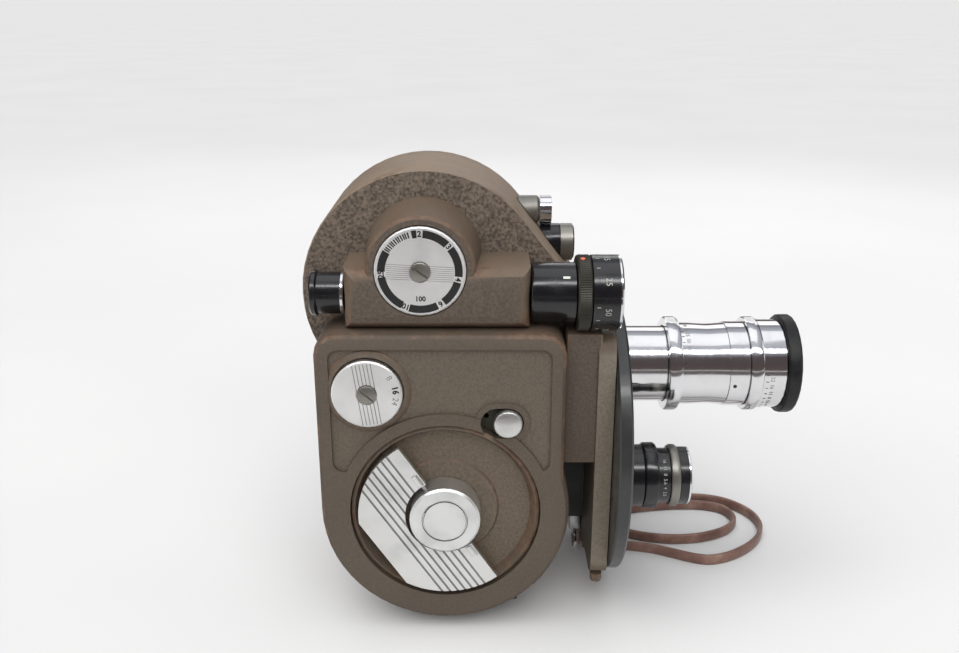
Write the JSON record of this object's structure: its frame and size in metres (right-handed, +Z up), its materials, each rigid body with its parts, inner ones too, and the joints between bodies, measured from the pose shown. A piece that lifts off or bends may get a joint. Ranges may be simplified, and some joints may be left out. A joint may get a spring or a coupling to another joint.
{
  "type": "cine camera",
  "caption": "Spring-wound 16 mm cine camera with a figure-eight film housing, folding winding key, tube viewfinder and a lens turret carrying a long and a standard lens.",
  "frame": {"origin": "on the surface that the camera stands on, under the winding key's axis", "axes": "+X towards the lenses, +Y towards the film door, +Z up"},
  "size_m": [0.2398, 0.137, 0.211],
  "materials": {
    "wrinkle_paint": "fine wrinkle enamel on cast aluminium, worn brown at the edges",
    "black_enamel": "gloss black enamel on aluminium",
    "turret_grey": "satin dark grey enamel on aluminium",
    "brushed_silver": "satin, finely brushed",
    "chrome": "bright to satin plating on light alloy",
    "grey_metal": "dull grey, knurled",
    "steel": "machined",
    "brass": "machined",
    "lens_glass": "coated, clear",
    "black_rubber": "matt",
    "strap_leather": "soft brown lace"
  },
  "bodies": {
    "root": {"body_shell": "wrinkle_paint", "motor_housing": "wrinkle_paint", "barrel_cover": "wrinkle_paint", "base_pad": "wrinkle_paint", "front_plate": "wrinkle_paint", "front_plate_screw": "steel", "finder_casting": "wrinkle_paint", "finder_tube": "black_enamel", "mechanism_plate": "grey_metal", "film_gate": "chrome", "turret_pivot": "steel", "strap_lug": "steel", "strap_ring": "steel", "wrist_strap": "strap_leather", "focuser_body": "black_enamel", "focuser_collar": "grey_metal", "focuser_eyepiece_mount": "grey_metal"},
    "film_door": {"film_door": "wrinkle_paint"},
    "door_latch_upper": {"door_latch_upper": "brushed_silver"},
    "door_latch_lower": {"door_latch_lower": "brushed_silver"},
    "finder_eyepiece": {"finder_eyepiece": "black_enamel", "finder_rear_glass": "lens_glass"},
    "finder_objective": {"finder_drum": "grey_metal", "finder_objective": "black_enamel", "finder_front_glass": "lens_glass"},
    "parallax_dial": {"parallax_dial": "brushed_silver", "parallax_dial_screw": "grey_metal"},
    "winder": {"winding_hub": "brushed_silver", "winding_arbor": "steel", "key_hinge_pin": "steel"},
    "winding_key": {"winding_key": "brushed_silver"},
    "speed_dial": {"speed_dial": "brushed_silver", "speed_dial_screw": "grey_metal"},
    "lock_slide": {"lock_slide": "steel"},
    "start_button": {"start_button": "chrome"},
    "spring_barrel": {"spring_barrel": "steel", "barrel_gear": "brass", "mainspring": "steel"},
    "sprocket": {"sprocket_shaft": "steel", "idler_gear": "brass", "feed_sprocket": "steel"},
    "governor": {"governor": "brass"},
    "supply_spindle": {"supply_spindle": "steel"},
    "takeup_spindle": {"takeup_spindle": "steel"},
    "pressure_plate": {"pressure_plate": "chrome"},
    "pulldown_claw": {"pulldown_claw": "steel"},
    "shutter": {"shutter": "black_enamel"},
    "turret": {"turret_disc": "turret_grey", "port_plug": "black_enamel", "long_lens_barrel": "chrome", "long_lens_hood": "black_rubber", "long_lens_front_glass": "lens_glass", "long_lens_rear_glass": "lens_glass", "normal_lens_barrel": "black_enamel", "normal_lens_glass": "lens_glass"},
    "long_lens_focus": {"long_lens_focus_ring": "chrome"},
    "long_lens_aperture": {"long_lens_aperture_ring": "chrome"},
    "normal_lens_focus": {"normal_lens_focus_ring": "black_enamel"},
    "normal_lens_aperture": {"normal_lens_aperture_ring": "black_enamel"},
    "focuser_eyepiece": {"focuser_eyepiece": "chrome"}
  },
  "joints": [
    {"name": "key_wind", "type": "hinge", "parent": "root", "child": "winder", "pos_m": [0, -0.054, 0.062], "axis": [0, -1, 0], "continuous": true},
    {"name": "key_fold", "type": "hinge", "parent": "winder", "child": "winding_key", "pos_m": [0, -0.054, 0.062], "axis": [-0.5593, 0, 0.829], "range_deg": [0, 90]},
    {"name": "speed_dial_turn", "type": "hinge", "parent": "root", "child": "speed_dial", "pos_m": [-0.0331, -0.052, 0.1208], "axis": [0, -1, 0], "range_deg": [0, 240]},
    {"name": "lock_slide_travel", "type": "slide", "parent": "root", "child": "lock_slide", "axis": [-1, 0, 0], "range_m": [0, 0.005]},
    {"name": "start_button_press", "type": "slide", "parent": "lock_slide", "child": "start_button", "axis": [0, 1, 0], "range_m": [0, 0.0025], "stiffness_N_per_m": 400, "springref_m": -0.0008},
    {"name": "barrel_spin", "type": "hinge", "parent": "root", "child": "spring_barrel", "pos_m": [0, -0.03, 0.062], "axis": [0, -1, 0], "continuous": true},
    {"name": "sprocket_spin", "type": "hinge", "parent": "root", "child": "sprocket", "pos_m": [0.022, 0, 0.108], "axis": [0, -1, 0], "continuous": true},
    {"name": "governor_spin", "type": "hinge", "parent": "root", "child": "governor", "pos_m": [0, -0.032, 0.1285], "axis": [1, 0, 0], "continuous": true},
    {"name": "shutter_spin", "type": "hinge", "parent": "root", "child": "shutter", "pos_m": [0.059, 0.006, 0.121], "axis": [1, 0, 0], "continuous": true},
    {"name": "supply_spindle_spin", "type": "hinge", "parent": "root", "child": "supply_spindle", "pos_m": [-0.0093, 0, 0.155], "axis": [0, -1, 0], "continuous": true},
    {"name": "takeup_spindle_spin", "type": "hinge", "parent": "root", "child": "takeup_spindle", "pos_m": [0, 0, 0.062], "axis": [0, -1, 0], "continuous": true},
    {"name": "pressure_plate_lift", "type": "slide", "parent": "root", "child": "pressure_plate", "axis": [-1, 0, 0], "range_m": [0, 0.0012], "stiffness_N_per_m": 300, "springref_m": -0.001},
    {"name": "claw_pulldown", "type": "slide", "parent": "root", "child": "pulldown_claw", "axis": [0, 0, 1], "range_m": [0, 0.0076]},
    {"name": "parallax_dial_turn", "type": "hinge", "parent": "root", "child": "parallax_dial", "pos_m": [-0.0096, -0.0451, 0.1734], "axis": [0, -1, 0], "range_deg": [0, 270]},
    {"name": "eyepiece_shift", "type": "slide", "parent": "root", "child": "finder_eyepiece", "axis": [0, 1, 0], "range_m": [0, 0.0024]},
    {"name": "finder_objective_turn", "type": "hinge", "parent": "root", "child": "finder_objective", "pos_m": [0.0573, -0.0335, 0.1603], "axis": [1, 0, 0], "range_deg": [0, 180]},
    {"name": "turret_turn", "type": "hinge", "parent": "root", "child": "turret", "pos_m": [0.0762, 0.007, 0.077], "axis": [1, 0, 0], "continuous": true},
    {"name": "long_lens_focus_turn", "type": "hinge", "parent": "turret", "child": "long_lens_focus", "pos_m": [0.1065, 0.01386, 0.10928], "axis": [1, 0, 0], "range_deg": [0, 270]},
    {"name": "long_lens_aperture_turn", "type": "hinge", "parent": "turret", "child": "long_lens_aperture", "pos_m": [0.1455, 0.01386, 0.10928], "axis": [1, 0, 0], "range_deg": [0, 90]},
    {"name": "normal_lens_focus_turn", "type": "hinge", "parent": "turret", "child": "normal_lens_focus", "pos_m": [0.0922, -0.02439, 0.0668], "axis": [1, 0, 0], "range_deg": [0, 200]},
    {"name": "normal_lens_aperture_turn", "type": "hinge", "parent": "turret", "child": "normal_lens_aperture", "pos_m": [0.1045, -0.02439, 0.0668], "axis": [1, 0, 0], "range_deg": [0, 90]},
    {"name": "door_lift_off", "type": "slide", "parent": "root", "child": "film_door", "axis": [0, 1, 0], "range_m": [0, 0.06]},
    {"name": "door_latch_upper_turn", "type": "hinge", "parent": "film_door", "child": "door_latch_upper", "pos_m": [-0.0093, 0.045, 0.155], "axis": [0, 1, 0], "range_deg": [0, 90]},
    {"name": "door_latch_lower_turn", "type": "hinge", "parent": "film_door", "child": "door_latch_lower", "pos_m": [0, 0.045, 0.062], "axis": [0, 1, 0], "range_deg": [0, 90]},
    {"name": "focuser_eyepiece_turn", "type": "hinge", "parent": "root", "child": "focuser_eyepiece", "pos_m": [0.0443, 0.022, 0.1855], "axis": [1, 0, 0], "range_deg": [-60, 60]}
  ],
  "couplings": [
    {"joint": "sprocket_spin", "follows": "barrel_spin", "ratio": -3},
    {"joint": "governor_spin", "follows": "barrel_spin", "ratio": 9},
    {"joint": "shutter_spin", "follows": "barrel_spin", "ratio": 6},
    {"joint": "eyepiece_shift", "follows": "parallax_dial_turn", "m_per_rad": 0.0005}
  ]
}
